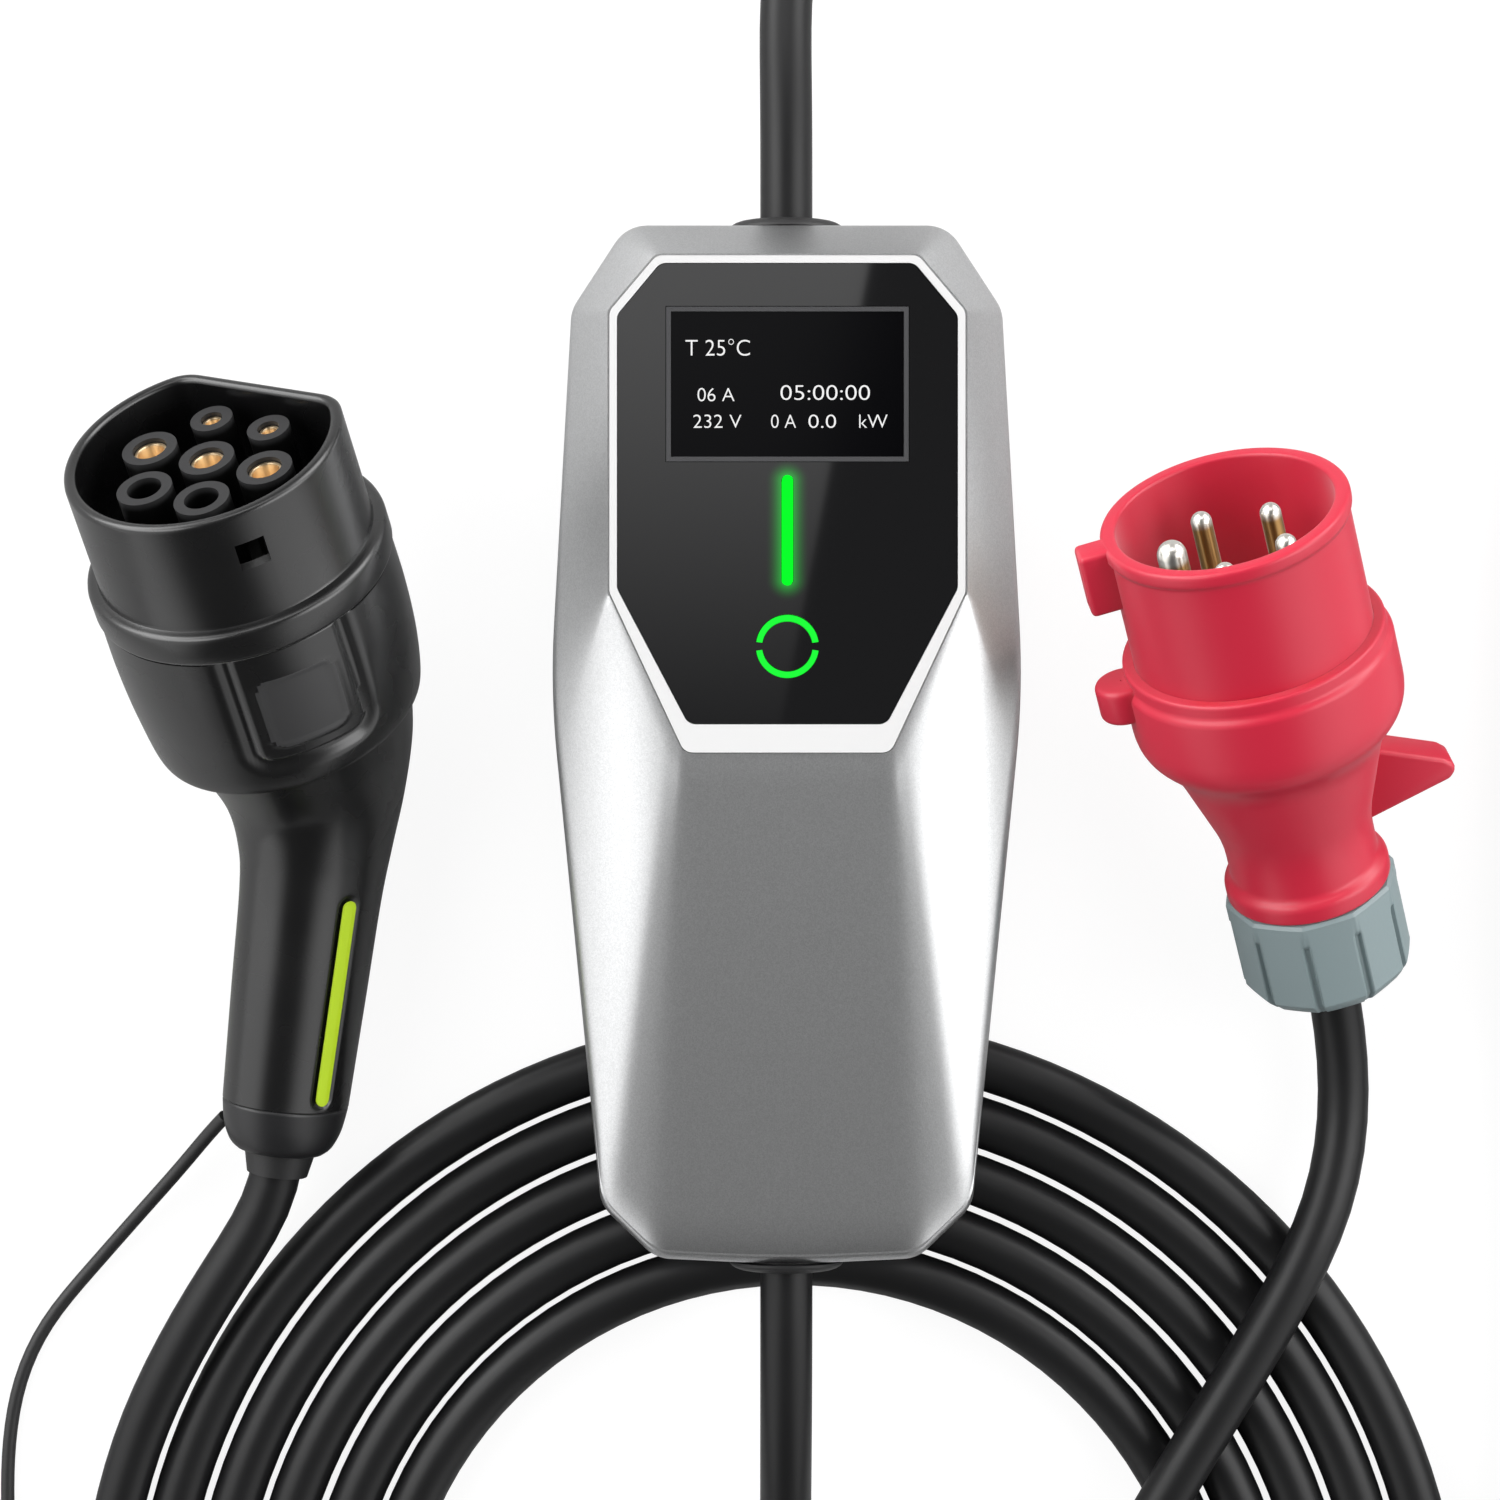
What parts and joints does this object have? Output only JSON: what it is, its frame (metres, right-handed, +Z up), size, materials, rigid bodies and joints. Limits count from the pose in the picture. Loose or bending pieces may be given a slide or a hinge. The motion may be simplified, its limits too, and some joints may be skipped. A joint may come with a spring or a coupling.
{
  "type": "portable ev charger",
  "caption": "Portable charger for electric cars: a silver control box with a black display panel, a coiled cable to a vehicle connector and a lead to a red supply plug.",
  "frame": {"origin": "on the floor under the middle of the control box, which lies on its back with its lower end on the cable coil", "axes": "+Z up, +Y towards the box's supply end (the top of its display), +X to the right of the display"},
  "size_m": [0.3962, 0.653, 0.1068],
  "materials": {
    "silver_paint": "satin",
    "pale_rim": "satin",
    "black_glass": "gloss",
    "display_frame": "satin",
    "display_face": "gloss",
    "green_light": "glowing",
    "circuit_board": "satin",
    "component_black": "matte",
    "sensor_core": "matte",
    "transformer_wrap": "satin",
    "terminal_green": "matte",
    "screw_steel": "satin",
    "black_rubber": "matte",
    "cable_jacket": "satin",
    "connector_black": "matte",
    "connector_grey": "matte",
    "contact_gold": "polished",
    "lime_stripe": "satin",
    "plug_red": "satin",
    "carrier_grey": "matte",
    "pin_brass": "polished",
    "nut_grey": "satin"
  },
  "bodies": {
    "root": {"front_shell": "silver_paint", "rear_shell": "silver_paint", "panel_rim": "pale_rim", "glass_panel": "black_glass", "display_bezel": "display_frame", "display": "display_face", "light_bar": "green_light", "light_ring": "green_light", "display_board": "circuit_board", "main_board": "circuit_board", "relays": "component_black", "control_module": "component_black", "capacitors": "component_black", "current_sensor": "sensor_core", "supply_transformer": "transformer_wrap", "input_terminals": "terminal_green", "output_terminals": "terminal_green", "board_screws": "screw_steel", "case_screws": "screw_steel", "case_gasket": "black_rubber", "top_gland": "black_rubber", "bottom_gland": "black_rubber", "connector_grommet": "black_rubber", "dust_cap": "black_rubber", "cap_strap": "black_rubber", "plug_seal": "black_rubber", "cable_coil": "cable_jacket", "charge_cable_box_end": "cable_jacket", "charge_cable_connector_end": "cable_jacket", "supply_lead": "cable_jacket", "connector_shroud": "connector_black", "connector_shell": "connector_black", "connector_end_cap": "connector_black", "contact_carrier": "connector_grey", "recess_plate": "connector_grey", "power_contacts": "contact_gold", "signal_contacts": "contact_gold", "grip_stripes": "lime_stripe", "plug_shroud": "plug_red", "plug_body": "plug_red", "pin_carrier": "carrier_grey", "phase_pins": "pin_brass", "earth_pin": "pin_brass", "gland_nut": "nut_grey"}
  },
  "joints": []
}
